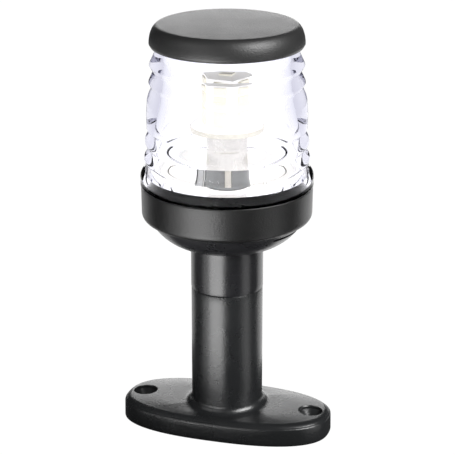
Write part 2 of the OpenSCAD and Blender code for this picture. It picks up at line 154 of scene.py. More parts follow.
def moulded(name, colour, roughness, grain, depth, mottle=0.12, specular=0.5):
    """Moulded plastic or rubber: spark-eroded grain, faint flow mottling, uneven gloss."""
    material, tree, shader, add = node_material(name)
    link = tree.links.new
    place = add("ShaderNodeTexCoord").outputs["Object"]
    fine = add("ShaderNodeTexNoise", Scale=1 / (grain * MM), Detail=3.0, Roughness=0.6)
    cells = add("ShaderNodeTexVoronoi", Scale=1 / (grain * 1.7 * MM))
    flow = add("ShaderNodeTexNoise", Scale=70.0, Detail=4.0, Roughness=0.55)
    for texture in (fine, cells, flow):
        link(place, texture.inputs["Vector"])
    relief = add("ShaderNodeMath")
    relief.operation = "MULTIPLY_ADD"
    relief.inputs[1].default_value = 0.5
    link(cells.outputs["Distance"], relief.inputs[0])
    link(fine.outputs["Fac"], relief.inputs[2])
    bump = add("ShaderNodeBump", Strength=0.8, Distance=depth * MM)
    link(relief.outputs[0], bump.inputs["Height"])
    link(bump.outputs["Normal"], shader.inputs["Normal"])
    gloss = add("ShaderNodeMapRange")
    gloss.inputs["From Min"].default_value = 0.3
    gloss.inputs["From Max"].default_value = 0.7
    gloss.inputs["To Min"].default_value = roughness - 0.02
    gloss.inputs["To Max"].default_value = roughness + 0.03
    link(flow.outputs["Fac"], gloss.inputs["Value"])
    link(gloss.outputs["Result"], shader.inputs["Roughness"])
    tint = add("ShaderNodeValToRGB")
    dark, light = tint.color_ramp.elements
    dark.position, light.position = 0.3, 0.72
    dark.color = [c * (1 - mottle) for c in colour] + [1]
    light.color = [min(1, c * (1 + mottle)) for c in colour] + [1]
    link(flow.outputs["Fac"], tint.inputs["Fac"])
    link(tint.outputs["Color"], shader.inputs["Base Color"])
    shader.inputs["Specular IOR Level"].default_value = specular
    return material


def plated(name, colour, roughness, brushed=0.0):
    """Bright metal with fine polishing lines round the part and faint tarnish."""
    material, tree, shader, add = node_material(name)
    link = tree.links.new
    place = add("ShaderNodeTexCoord").outputs["Object"]
    stretch = add("ShaderNodeMapping")
    stretch.inputs["Scale"].default_value = (40, 40, 2600)
    link(place, stretch.inputs["Vector"])
    lines = add("ShaderNodeTexNoise", Scale=1.0, Detail=3.0)
    tarnish = add("ShaderNodeTexNoise", Scale=160.0, Detail=5.0)
    link(stretch.outputs["Vector"], lines.inputs["Vector"])
    link(place, tarnish.inputs["Vector"])
    bump = add("ShaderNodeBump", Strength=0.25 + brushed, Distance=0.008 * MM)
    link(lines.outputs["Fac"], bump.inputs["Height"])
    link(bump.outputs["Normal"], shader.inputs["Normal"])
    gloss = add("ShaderNodeMapRange")
    gloss.inputs["To Min"].default_value = roughness - 0.06
    gloss.inputs["To Max"].default_value = roughness + 0.12
    link(tarnish.outputs["Fac"], gloss.inputs["Value"])
    link(gloss.outputs["Result"], shader.inputs["Roughness"])
    tint = add("ShaderNodeValToRGB")
    dark, light = tint.color_ramp.elements
    dark.position, light.position = 0.25, 0.6
    dark.color = [c * 0.8 for c in colour] + [1]
    light.color = list(colour) + [1]
    link(tarnish.outputs["Fac"], tint.inputs["Fac"])
    link(tint.outputs["Color"], shader.inputs["Base Color"])
    shader.inputs["Metallic"].default_value = 1.0
    return material


# Acrylic's own index is 1.49; the lower one bends the view of the lamp holder less.
LENS_INDEX = 1.1


def clear_moulding(name):
    """Thick clear acrylic with a slight cool tint and faint moulding ripple."""
    material, tree, shader, add = node_material(name)
    link = tree.links.new
    place = add("ShaderNodeTexCoord").outputs["Object"]
    ripple = add("ShaderNodeTexNoise", Scale=90.0, Detail=1.5)
    link(place, ripple.inputs["Vector"])
    bump = add("ShaderNodeBump", Strength=0.25, Distance=0.05 * MM)
    link(ripple.outputs["Fac"], bump.inputs["Height"])
    link(bump.outputs["Normal"], shader.inputs["Normal"])
    shader.inputs["Base Color"].default_value = (0.985, 0.985, 0.995, 1)
    shader.inputs["Roughness"].default_value = 0.0
    shader.inputs["IOR"].default_value = LENS_INDEX
    shader.inputs["Transmission Weight"].default_value = 1.0
    depth = add("ShaderNodeVolumeAbsorption", Color=(0.42, 0.42, 0.52, 1), Density=40.0)
    link(depth.outputs["Volume"], tree.nodes["Material Output"].inputs["Volume"])
    return material


def board_white(name, colour, painted_glow=0.0):
    """Board, phosphor or white plastic: even colour with a fine speckle, and an optional painted glow that
    makes it look brightly lit.
    """
    material, tree, shader, add = node_material(name)
    link = tree.links.new
    place = add("ShaderNodeTexCoord").outputs["Object"]
    speckle = add("ShaderNodeTexNoise", Scale=900.0, Detail=3.0)
    link(place, speckle.inputs["Vector"])
    tint = add("ShaderNodeValToRGB")
    dark, light = tint.color_ramp.elements
    dark.position, light.position = 0.3, 0.65
    dark.color = [c * 0.93 for c in colour] + [1]
    light.color = list(colour) + [1]
    link(speckle.outputs["Fac"], tint.inputs["Fac"])
    link(tint.outputs["Color"], shader.inputs["Base Color"])
    bump = add("ShaderNodeBump", Strength=0.2, Distance=0.01 * MM)
    link(speckle.outputs["Fac"], bump.inputs["Height"])
    link(bump.outputs["Normal"], shader.inputs["Normal"])
    shader.inputs["Roughness"].default_value = 0.4
    # Painted glow: the part gives off faint light of its own so it looks brightly lit; it is not a working
    # lamp.
    if painted_glow:
        shader.inputs["Emission Color"].default_value = (1.0, 0.97, 0.9, 1)
        shader.inputs["Emission Strength"].default_value = painted_glow
    return material


# Size of the grain on the black mouldings, in mm
GRAIN = 0.45

BLACK_GRAINED = moulded("black_grained", (0.009, 0.0095, 0.01), 0.27, GRAIN, depth=0.07)
BLACK_SATIN = moulded("black_satin", (0.008, 0.008, 0.009), 0.27, GRAIN, depth=0.02)
BLACK_COLLAR = moulded("black_collar", (0.006, 0.006, 0.006), 0.34, GRAIN, depth=0.08, specular=0.34)
BLACK_UPSTAND = moulded("black_upstand", (0.004, 0.004, 0.004), 0.12, grain=0.5, depth=0.004, specular=0.15)
BLACK_CAP = moulded("black_cap", (0.016, 0.016, 0.016), 0.4, GRAIN, depth=0.09, specular=0.38)
BLACK_RUBBER = moulded("black_rubber", (0.025, 0.025, 0.025), 0.7, grain=0.5, depth=0.02)
GREY_RUBBER = moulded("grey_rubber", (0.16, 0.16, 0.16), 0.7, grain=0.5, depth=0.02)
WHITE_NYLON = moulded("white_nylon", (0.8, 0.8, 0.76), 0.45, grain=0.5, depth=0.01, mottle=0.03)
PHENOLIC = moulded("brown_phenolic", (0.16, 0.08, 0.04), 0.4, grain=0.6, depth=0.01, mottle=0.2)
BLACK_INSULATOR = moulded("black_insulator", (0.015, 0.015, 0.018), 0.2, grain=0.6, depth=0.004)
RED_INSULATION = moulded("red_insulation", (0.5, 0.02, 0.015), 0.35, grain=0.5, depth=0.006)
BLACK_INSULATION = moulded("black_insulation", (0.02, 0.02, 0.02), 0.35, grain=0.5, depth=0.006)
CLEAR = clear_moulding("clear_lens")
NICKEL = plated("nickel_plate", (0.72, 0.7, 0.66), 0.22)
DULL_NICKEL = plated("dull_nickel", (0.3, 0.31, 0.32), 0.16)
ZINC = plated("zinc_steel", (0.55, 0.56, 0.57), 0.38, brushed=0.2)
SPRING_STEEL = plated("spring_steel", (0.5, 0.5, 0.5), 0.25)
BRASS = plated("brass", (0.75, 0.55, 0.24), 0.25)
SOLDER = plated("solder", (0.62, 0.62, 0.62), 0.42)
# The white gasket, deck, lamp boards and LED packages get a painted glow that makes them look brightly lit.
WHITE_RUBBER = board_white("white_rubber", (0.88, 0.88, 0.87), painted_glow=0.3)
WHITE_GLOSS = board_white("white_gloss", (0.9, 0.9, 0.89), painted_glow=0.45)
CREAM_BOARD = board_white("cream_board", (0.82, 0.79, 0.68))
WHITE_BOARD = board_white("white_board", (0.9, 0.9, 0.89), painted_glow=0.4)
PHOSPHOR = board_white("phosphor", (0.88, 0.85, 0.7), painted_glow=0.2)


# ------------------------------------------------------------- building blocks
SHARP_ANGLE = math.radians(38)


def arc(r, z, radius, start, stop, steps=10):
    """Points of an arc about (r, z), angles in degrees."""
    angles = [math.radians(start + (stop - start) * i / steps) for i in range(steps + 1)]
    return [(r + radius * math.cos(a), z + radius * math.sin(a)) for a in angles]


def bowed(p, q, bulge, steps=28):
    """Points of a line from p to q that stands out by bulge at its middle."""
    length = math.dist(p, q)
    side = ((q[1] - p[1]) / length, (p[0] - q[0]) / length)
    points = []
    for i in range(steps + 1):
        u = i / steps
        out = 4 * bulge * u * (1 - u)
        points.append((p[0] + (q[0] - p[0]) * u + side[0] * out,
                       p[1] + (q[1] - p[1]) * u + side[1] * out))
    return points


def rounded(corners, steps=5):
    """A closed outline from (r, z) or (r, z, fillet) corners."""
    outline = []
    count = len(corners)
    for i, corner in enumerate(corners):
        here = Vector(corner[:2])
        fillet = corner[2] if len(corner) > 2 else 0
        if not fillet:
            outline.append(tuple(here))
            continue
        before = Vector(corners[i - 1][:2]) - here
        after = Vector(corners[(i + 1) % count][:2]) - here
        half = before.angle(after) / 2
        reach = min(fillet / math.tan(half), before.length * 0.48, after.length * 0.48)
        start = here + before.normalized() * reach
        stop = here + after.normalized() * reach
        for k in range(steps + 1):
            u = k / steps
            point = start * (1 - u) ** 2 + here * 2 * u * (1 - u) + stop * u ** 2
            outline.append(tuple(point))
    return outline


def even_angles(count):
    return [TURN * i / count for i in range(count)]


def new_piece(name, mesh_maker):
    """Turns a filled bmesh into a smooth-shaded object with crisp edges kept."""
    mesh = bpy.data.meshes.new(name)
    bm = bmesh.new()
    mesh_maker(bm)
    bmesh.ops.recalc_face_normals(bm, faces=bm.faces)
    bm.to_mesh(mesh)
    bm.free()
    mesh.shade_smooth()
    mesh.set_sharp_from_angle(angle=SHARP_ANGLE)
    piece = bpy.data.objects.new(name, mesh)
    bpy.context.scene.collection.objects.link(piece)
    return piece


def ring(bm, points, angle):
    """One column of vertices: the outline's points turned to angle."""
    c, s = math.cos(angle) * MM, math.sin(angle) * MM
    return [bm.verts.new((r * c, r * s, z * MM)) for r, z in points]


def turned(name, outline, angles=None, relief=None):
    """Turns an outline round the Z axis. Outline is points, or a function of the angle."""
    angles = angles or even_angles(192)

    def fill(bm):
        sample = outline(angles[0]) if callable(outline) else outline
        to_axis = sample[0][0] < 1e-6 and sample[-1][0] < 1e-6
        columns = []
        for angle in angles:
            points = outline(angle) if callable(outline) else outline
            if to_axis:
                points = points[1:-1]
            if relief:
                points = [(r + relief(angle, r, z), z) for r, z in points]
            columns.append(ring(bm, points, angle))
        rows = len(columns[0])
        steps = rows - 1 if to_axis else rows
        for a, b in zip(columns, columns[1:] + columns[:1]):
            for i in range(steps):
                j = (i + 1) % rows
                bm.faces.new((a[i], b[i], b[j], a[j]))
        if to_axis:
            for end, pole in ((0, sample[0]), (rows - 1, sample[-1])):
                top = bm.verts.new((0, 0, pole[1] * MM))
                for a, b in zip(columns, columns[1:] + columns[:1]):
                    bm.faces.new((a[end], b[end], top))

    return new_piece(name, fill)


def block(bm, centre, size, bevel=0.0, turn=0.0, segments=2):
    """Adds a box with bevelled edges to a bmesh, all in mm."""
    made = bmesh.ops.create_cube(bm, size=1.0)
    verts = made["verts"]
    bmesh.ops.scale(bm, vec=Vector(size) * MM, verts=verts)
    if bevel:
        edges = {e for v in verts for e in v.link_edges}
        result = bmesh.ops.bevel(bm, geom=list(edges), offset=bevel * MM, segments=segments,
                                 profile=0.7, affect="EDGES")
        verts = list({v for f in result["faces"] for v in f.verts})
    bmesh.ops.translate(bm, vec=Vector(centre) * MM, verts=verts)
    if turn:
        bmesh.ops.rotate(bm, cent=(0, 0, 0), matrix=Matrix.Rotation(turn, 3, "Z"), verts=verts)


def cut_with(piece, *cutters):
    """Subtracts cutters from a piece and drops them."""
    for cutter in cutters:
        modifier = piece.modifiers.new("cut", "BOOLEAN")
        modifier.operation = "DIFFERENCE"
        modifier.solver = "EXACT"
        modifier.object = cutter
    graph = bpy.context.evaluated_depsgraph_get()
    mesh = bpy.data.meshes.new_from_object(piece.evaluated_get(graph))
    piece.modifiers.clear()
    piece.data = mesh
    for cutter in cutters:
        bpy.data.objects.remove(cutter)
    mesh.set_sharp_from_angle(angle=SHARP_ANGLE)


def merged(name, parts):
    """Joins several pieces into one."""
    bm = bmesh.new()
    for part in parts:
        bm.from_mesh(part.data)
    mesh = bpy.data.meshes.new(name)
    bm.to_mesh(mesh)
    bm.free()
    for part in parts:
        bpy.data.objects.remove(part)
    mesh.shade_smooth()
    mesh.set_sharp_from_angle(angle=SHARP_ANGLE)
    piece = bpy.data.objects.new(name, mesh)
    bpy.context.scene.collection.objects.link(piece)
    return piece


def settle(piece, body, material, slot, *nodes):
    """Gives a piece its material and its body, and hides the CAD nodes it stands for. The slot argument is
    not used.
    """
    piece.data.materials.clear()
    piece.data.materials.append(material)
    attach(piece, body)
    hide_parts(*nodes)
    return piece


def tube_curve(name, points, radius, sides=4):
    """A smooth round wire or lead through points given in mm."""
    curve = bpy.data.curves.new(name, "CURVE")
    curve.dimensions = "3D"
    spline = curve.splines.new("POLY")
    spline.points.add(len(points) - 1)
    for target, point in zip(spline.points, points):
        target.co = (*(Vector(point) * MM), 1)
    curve.bevel_depth = radius * MM
    curve.bevel_resolution = sides
    curve.use_fill_caps = True
    piece = bpy.data.objects.new(name, curve)
    bpy.context.scene.collection.objects.link(piece)
    graph = bpy.context.evaluated_depsgraph_get()
    mesh = bpy.data.meshes.new_from_object(piece.evaluated_get(graph))
    bpy.data.objects.remove(piece)
    made = bpy.data.objects.new(name, mesh)
    mesh.shade_smooth()
    mesh.set_sharp_from_angle(angle=math.radians(50))
    bpy.context.scene.collection.objects.link(made)
    return made


# --------------------------------------------------------------- foot and pole
def foot_radius(inset, angle):
    """Radius of the foot's oval outline, moved in by inset."""
    a, b = FOOT_HALF_X - inset, FOOT_HALF_Y - inset
    x = abs(math.cos(angle)) / a
    y = abs(math.sin(angle)) / b
    return (x ** FOOT_POWER + y ** FOOT_POWER) ** (-1 / FOOT_POWER)


def foot_outline(angle):
    """The foot and lower pole cut through at an angle, from the bore's top outwards."""
    flat_r = SHANK_R + FOOT_FILLET
    brow_r = foot_radius(FOOT_EDGE, angle)
    brow_z = FOOT_WALL + FOOT_EDGE
    rise = FOOT_CROWN * min(1, max(0, (brow_r - flat_r) / 12)) ** 0.8
    base_z = brow_z + rise
    points = [
        (SHANK_BORE_R, FOOT_FLOOR), (SHANK_BORE_R, SEAM_Z - 0.3), (SHANK_BORE_R + 0.3, SEAM_Z),
        (SHANK_R - 0.4, SEAM_Z), (SHANK_R - 0.12, SEAM_Z - 0.1), (SHANK_R, SEAM_Z - 0.4)
    ]
    shank_low = base_z + FOOT_FILLET
    points += [(SHANK_R, SEAM_Z + (shank_low - SEAM_Z) * i / 12) for i in range(1, 12)]
    points += arc(flat_r, shank_low, FOOT_FILLET, 180, 270, 14)
    for i in range(1, 16):
        s = i / 16
        points.append((flat_r + (brow_r - flat_r) * s, brow_z + rise * (1 - s ** 2)))
    for step in range(10):
        a = math.radians(90 - step * 6)
        inset = FOOT_EDGE * (1 - math.cos(a))
        points.append((foot_radius(inset, angle), FOOT_WALL + FOOT_EDGE * math.sin(a)))
    edge_in = FOOT_EDGE * (1 - math.cos(FOOT_EDGE_LINE))
    edge_z = FOOT_WALL + FOOT_EDGE * math.sin(FOOT_EDGE_LINE)
    points += [
        (foot_radius(edge_in * 0.6, angle), edge_z - 0.12),
        (foot_radius(edge_in * 0.35, angle), edge_z - 0.32),
        (foot_radius(edge_in * 0.2, angle), edge_z - 0.6)
    ]
    points += [(foot_radius(0.08 * u, angle), (edge_z - 0.9) * u) for u in (1, 0.66, 0.33, 0.08)]
    points += [(foot_radius(0.12, angle), 0.08), (foot_radius(0.35, angle), 0)]
    points += [(12 + (foot_radius(0.35, angle) - 12) * u, 0) for u in (0.66, 0.33)]
    points += [(INLET_R, 0.0), (INLET_R, FOOT_FLOOR)]
    return points


def make_foot():
    angles = even_angles(320)
    piece = turned("foot_and_lower_pole", foot_outline, angles)
    cutters = []
    for side in (-1, 1):
        mouth = [
            (0, -1), (SCREW_HOLE_R, -1), (SCREW_HOLE_R, SINK_Z - (SINK_R - SCREW_HOLE_R)),
            (SINK_R - 0.15, SINK_Z - 0.15), (SINK_R, SINK_Z), (SINK_R, 8.2), (SINK_R + 0.12, 8.5),
            (SINK_R + 0.3, 8.72), (SINK_R + 0.6, 9), (SINK_R + 0.6, 12), (0, 12)
        ]
        cutter = turned(f"cutter_{side}", mouth, even_angles(64))
        cutter.data.transform(shift(side * SCREW_X, 0, 0))
        cutters.append(cutter)
    cut_with(piece, *cutters)
    settle(piece, "base", BLACK_GRAINED, "black_grained", "foot_shank")


def shift(x, y, z):
    return Matrix.Translation(Vector((x, y, z)) * MM)


def make_foot_seals():
    gasket_top = high("foot_gasket").z
    outer = high("foot_gasket").x
    ring_outline = rounded([(12, 0, 0.2), (outer, 0, 0.2), (outer, gasket_top, 0.2), (12, gasket_top, 0.2)])
    settle(turned("foot_gasket_ring", ring_outline), "base", BLACK_RUBBER, "black_rubber", "foot_gasket")
    z0, z1 = low("cable_grommet").z, high("cable_grommet").z
    flange = high("cable_grommet").x
    grommet = rounded([
        (3, z0, 0.4), (INLET_R, z0, 0.3), (INLET_R, FOOT_FLOOR, 0), (flange, FOOT_FLOOR, 0.2),
        (flange, z1, 0.5), (3, z1, 0.5)
    ])
    settle(turned("cable_grommet_ring", grommet), "base", BLACK_RUBBER, "black_rubber", "cable_grommet")


# -------------------------------------------------------------------- housing
def bowl_outline():
    spigot_r = SHANK_BORE_R - 0.1
    outside = [
        (NECK_BORE_R, SPIGOT_LOW), (spigot_r - 0.6, SPIGOT_LOW), (spigot_r, SPIGOT_LOW + 0.6),
        (spigot_r, GROOVE_LOW), (GROOVE_R, GROOVE_LOW), (GROOVE_R, GROOVE_TOP), (spigot_r, GROOVE_TOP),
        (spigot_r, SEAM_Z),
        (NECK_R - 0.4, SEAM_Z), (NECK_R - 0.12, SEAM_Z + 0.1), (NECK_R, SEAM_Z + 0.4)
    ]
    outside += [(NECK_R, SEAM_Z + 0.4 + (BOWL_LOW - SEAM_Z - 0.8) * i / 8) for i in range(1, 9)]
    skin = bowed((NECK_R, BOWL_LOW), (BOWL_R, SHOULDER_Z), BOWL_BULGE, 40)
    outside += [(NECK_R + 0.12, BOWL_LOW - 0.08)] + skin[1:-1]
    outside += [(BOWL_R - 0.05, SHOULDER_Z - 0.1), (BOWL_R - 0.25, SHOULDER_Z)]
    inside = [
        (RIM_R, SHOULDER_Z), (RIM_R, RIM_TOP - 0.5), (RIM_R - 0.5, RIM_TOP), (25.9, RIM_TOP),
        (25.6, RIM_TOP - 0.3), (25.6, BOWL_LEDGE), (BOWL_IN_R, BOWL_LEDGE)
    ]
    inside += arc(BOWL_IN_R - BOWL_CORNER, BOWL_FLOOR + BOWL_CORNER, BOWL_CORNER, 0, -90, 16)
    return outside + inside + [(NECK_BORE_R, BOWL_FLOOR)]


def make_bowl():
    piece = turned("bowl_and_upper_pole", bowl_outline(), even_angles(256))

    def blade(bm):
        depth = 6.0
        block(bm, (PRY_DEPTH_R + depth / 2, 0, PRY_LOW + PRY_HEIGHT / 2),
              (depth, PRY_LENGTH, PRY_HEIGHT), bevel=0.25, turn=PRY_ANGLE)

    cut_with(piece, new_piece("cutter_blade", blade))
    bosses = []
    for side in (-1, 1):
        boss = turned(f"boss_{side}", rounded([
            (1.5, 76), (3.2, 76), (3.2, 78.4, 0.2), (1.5, 78.4)]), even_angles(48))
        boss.data.transform(shift(side * BOSS_X, 0, 0))
        bosses.append(boss)
    piece = merged("bowl_and_upper_pole", [piece, *bosses])
    settle(piece, "base", BLACK_SATIN, "black_satin", "neck_bowl")


def make_collar():
    in_r = RIM_R + 0.3
    edge = 2.8
    top = COLLAR_JOINT
    outline = [(in_r + 0.1, COLLAR_LOW)]
    outline += arc(COLLAR_R - 0.15 - edge, COLLAR_LOW + edge, edge, -90, 0, 14)
    outline += [(COLLAR_R - 0.15 + 0.15 * i / 6, COLLAR_LOW + edge + (top - 0.6 - COLLAR_LOW - edge) * i / 6)
                for i in range(1, 7)]
    outline += arc(COLLAR_R - 0.35, top - 0.35, 0.35, 20, 90, 5)
    outline += [
        (SHELF_R, top), (SHELF_R, SHELF_LOW), (in_r, SHELF_LOW), (in_r, COLLAR_LOW + 0.15)
    ]
    piece = turned("collar_ring", outline, even_angles(256))
    settle(piece, "head", BLACK_COLLAR, "black_collar", "collar")
    upstand = rounded([
        (UPSTAND_IN_R, top - 0.2), (UPSTAND_R, top - 0.2), (UPSTAND_R, UPSTAND_TOP, 0.3),
        (UPSTAND_IN_R, UPSTAND_TOP, 0.2)
    ])
    piece = turned("collar_upstand", upstand, even_angles(256))
    settle(piece, "head", BLACK_UPSTAND, "black_collar", "collar")


def make_gaskets():
    r0, r1 = 26.2, high("head_gasket").x
    z0, z1 = low("head_gasket").z, high("head_gasket").z
    outline = rounded([(r0, z0, 0.25), (r1, z0, 0.25), (r1, z1, 0.1), (r0, z1, 0.1)])
    settle(turned("head_gasket_ring", outline), "head", GREY_RUBBER, "grey_rubber", "head_gasket")
    inner, seal_low, seal_top = 25.5, low("lens_gasket").z, high("lens_gasket").z
    outer = UPSTAND_IN_R - 0.1
    seal = rounded([(inner, seal_low), (outer, seal_low), (outer, seal_top), (inner, seal_top, 0.3)])
    piece = turned("lens_gasket_ring", seal, even_angles(256))
    settle(piece, "head", WHITE_RUBBER, "white_rubber", "lens_gasket")
    mid = (low("spigot_oring").z + high("spigot_oring").z) / 2
    section = high("spigot_oring").z - mid
    outline = arc(high("spigot_oring").x - section, mid, section, 0, 337.5, 15)
    settle(turned("spigot_oring_ring", outline), "base", BLACK_RUBBER, "black_rubber", "spigot_oring")


# ----------------------------------------------------------------------- lens
def round_ridge(z0, z1, valley, peak, steps=16):
    """A rounded ridge of the lens between two valleys."""
    return [(valley + (peak - valley) * math.sin(math.pi * i / steps), z0 + (z1 - z0) * i / steps)
            for i in range(steps + 1)]


def line(p, q, steps):
    """Points of a straight line from p up to, but not at, q."""
    shares = [i / steps for i in range(steps)]
    return [(p[0] + (q[0] - p[0]) * u, p[1] + (q[1] - p[1]) * u) for u in shares]


def path(*corners):
    """Points along straight lines through corners, each (r, z, steps to the next one)."""
    points = []
    for here, after in zip(corners, corners[1:]):
        points += line(here[:2], after[:2], here[2])
    return points


def lens_outline():
    base = COLLAR_JOINT
    skirt = LENS_SKIRT_R
    shoulder_z, shoulder_r = 100, 3
    outside = [(LENS_IN_R, LENS_SEAT), (UPSTAND_R + 0.1, LENS_SEAT), (UPSTAND_R + 0.1, base)]
    outside += [(skirt - 0.35, base), (skirt - 0.1, base + 0.1), (skirt - 0.03, base + 0.35)]
    outside += path((skirt - 0.03, base + 0.5, 3), (skirt - 0.2, 98, 3), (skirt, shoulder_z))
    outside += arc(skirt - shoulder_r, shoulder_z, shoulder_r, 0, 62, 14)
    for z0, z1, valley, peak in LENS_RIDGES:
        outside += round_ridge(z0, z1, valley, peak)
    outside += path(
        (LENS_BAND_R - 0.1, 118.5, 6), (LENS_BAND_R + 0.05, 124, 6), (LENS_BAND_R - 0.3, 129, 3),
        (LENS_BAND_R - 0.7, 130.8, 4), (27.65, 133.8, 4), (28.7, 135.8, 2), (28.65, 136.2, 4),
        (26.95, 139.9, 4), (28.4, 142.3, 2), (28.35, 142.7, 5), (LENS_NECK_R, 146.4)
    )
    outside += [(LENS_NECK_R, 146.6), (LENS_NECK_R, 148.8), (26.0, 149.1), (26.0, LENS_TOP)]
    side_top = LENS_CEILING - 6
    inside = [(0, LENS_CEILING + 0.8), (4, LENS_CEILING + 0.75), (8, LENS_CEILING + 0.5)]
    inside += arc(LENS_IN_TOP_R - 6, side_top, 6, 90, 0, 16)
    start = LENS_SEAT
    for i in range(27, -1, -1):
        u = i / 28
        r = LENS_IN_R + (LENS_IN_TOP_R - LENS_IN_R) * math.sin(math.pi / 2 * u) ** 1.15
        inside.append((r, start + (side_top - start) * u))
    return [(0, LENS_TOP)] + outside[::-1] + inside[::-1]


def parting_relief(angle, r, z):
    """The mould's parting line: a hair-fine ridge up both sides of the lens."""
    if r < 26.2 or z < COLLAR_JOINT + 0.3 or z > 148.5:
        return 0.0
    half_width = math.radians(0.35)
    for seam in (PARTING_ANGLE, PARTING_ANGLE + math.pi):
        off = abs((angle - seam + math.pi) % TURN - math.pi)
        if off < half_width:
            return 0.14 * (1 - off / half_width)
    return 0.0


def parting_angles():
    """Even columns, with extra ones at each parting line."""
    angles = even_angles(240)
    for seam in (PARTING_ANGLE, PARTING_ANGLE + math.pi):
        for step in (-0.36, -0.18, 0, 0.18, 0.36):
            angles.append((seam + math.radians(step)) % TURN)
    return sorted(angles)


def make_lens():
    outline = lens_outline()
    piece = turned("lens_moulding", outline, parting_angles(), parting_relief)
    settle(piece, "head", CLEAR, "clear_lens", "lens")


def make_cap():
    rim_z = CAP_TOP - 0.5
    widest_z = CAP_LOW + 1.1
    flat_r = 24.9
    outline = [(26.1, CAP_LOW + 0.2), (26.3, CAP_LOW), (27.75, CAP_LOW), (27.95, CAP_LOW + 0.15)]
    for i in range(33):
        a = math.pi / 2 * i / 32
        outline.append((flat_r + (CAP_R - flat_r) * math.cos(a), widest_z + (rim_z - widest_z) * math.sin(a)))
    for i in range(1, 20):
        u = 1 - i / 20
        outline.append((flat_r * u, rim_z + 0.5 * (1 - u * u)))
    inner = [(0, 155.2), (20.5, 155.2), (21.6, 154.8), (22, 153.7), (22, LENS_TOP), (26.1, LENS_TOP)]
    piece = turned("cap_moulding", [(0, CAP_TOP)] + outline[::-1] + inner[::-1], even_angles(256))
    settle(piece, "head", BLACK_CAP, "black_cap", "cap")


# ---------------------------------------------------------------- lamp holder
DECK_TOP = 94.7
HOLDER_LOW = low("socket_shell").z
HOLDER_TOP = high("socket_shell").z
HOLDER_R = high("socket_shell").x
HOLDER_IN_R = 7.9
PIN_HEIGHTS = (95.6, 98.6)
PIN_ANGLES = (math.radians(90), math.radians(270))
PIN_R = 1.0
PUSH = 1.5
TWIST = math.radians(20)
CONTACT_X = 3.2
BOSS_X = 14.5


def make_deck():
    ledge, wall_top = low("reflector_deck").z, high("reflector_deck").z
    r = high("reflector_deck").x
    outline = rounded([
        (8.8, DECK_TOP, 0.4), (8.8, DECK_TOP - 1.6, 0.2), (20.9, DECK_TOP - 1.6, 0.4), (21.5, ledge, 0.2),
        (r, ledge, 0.2), (r, wall_top, 0.3), (r - 1.0, wall_top, 0.3), (r - 1.0, DECK_TOP + 1.2, 0.6),
        (22.9, DECK_TOP, 1.0)
    ])
    piece = turned("white_deck", outline)

    def slot(bm):
        block(bm, (-8, 0.5, 93), (7.4, 6.6, 6))

    cut_with(piece, new_piece("cutter_deck", slot))
    settle(piece, "base", WHITE_GLOSS, "white_gloss", "reflector_deck")


def slotted_tube(name, r_in, r_out, z0, z1, windows, around=240):
    """A thin tube with windows, each (angle from, angle to, z from, z to)."""
    angles = set(round(a, 6) for a in even_angles(around))
    heights = {z0, z1, *(z0 + (z1 - z0) * i / 24 for i in range(25))}
    for a0, a1, w0, w1 in windows:
        angles |= {round(a0 % TURN, 6), round(a1 % TURN, 6)}
        heights |= {w0, min(w1, z1)}
    angles, heights = sorted(angles), sorted(heights)

    def is_open(angle, z):
        for a0, a1, w0, w1 in windows:
            if (angle - a0) % TURN < (a1 - a0) and w0 < z < w1:
                return True
        return False

    def fill(bm):
        count = len(angles)
        grid = {}
        for i, angle in enumerate(angles):
            for k, z in enumerate(heights):
                for side, r in enumerate((r_in, r_out)):
                    point = (r * math.cos(angle) * MM, r * math.sin(angle) * MM, z * MM)
                    grid[i, k, side] = bm.verts.new(point)
        solid = {}
        for i in range(count):
            middle = angles[i] + ((angles[(i + 1) % count] - angles[i]) % TURN) / 2
            for k in range(len(heights) - 1):
                solid[i, k] = not is_open(middle, (heights[k] + heights[k + 1]) / 2)
        for (i, k), full in solid.items():
            if not full:
                continue
            j = (i + 1) % count
            for side in (0, 1):
                bm.faces.new((grid[i, k, side], grid[j, k, side], grid[j, k + 1, side], grid[i, k + 1, side]))
            if not solid.get(((i - 1) % count, k)):
                bm.faces.new((grid[i, k, 0], grid[i, k, 1], grid[i, k + 1, 1], grid[i, k + 1, 0]))
            if not solid.get((j, k)):
                bm.faces.new((grid[j, k, 0], grid[j, k, 1], grid[j, k + 1, 1], grid[j, k + 1, 0]))
            if not solid.get((i, k - 1)):
                bm.faces.new((grid[i, k, 0], grid[j, k, 0], grid[j, k, 1], grid[i, k, 1]))
            if not solid.get((i, k + 1)):
                bm.faces.new((grid[i, k + 1, 0], grid[j, k + 1, 0], grid[j, k + 1, 1], grid[i, k + 1, 1]))
        loose = [v for v in bm.verts if not v.link_faces]
        bmesh.ops.delete(bm, geom=loose, context="VERTS")

    return new_piece(name, fill)


def make_holder():
    gap = 0.3
    half = math.asin((PIN_R + gap) / HOLDER_IN_R)
    windows = []
    for pin_z, angle in zip(PIN_HEIGHTS, PIN_ANGLES):
        floor = pin_z - PIN_R - PUSH - gap
        windows.append((angle - half, angle + TWIST + half, floor, pin_z + PIN_R + gap))
        windows.append((angle + TWIST - half, angle + TWIST + half, floor, HOLDER_TOP + 1))
    piece = slotted_tube("bayonet_shell", HOLDER_IN_R, HOLDER_R, HOLDER_LOW, HOLDER_TOP, windows)
    settle(piece, "base", DULL_NICKEL, "nickel_plate", "socket_shell")


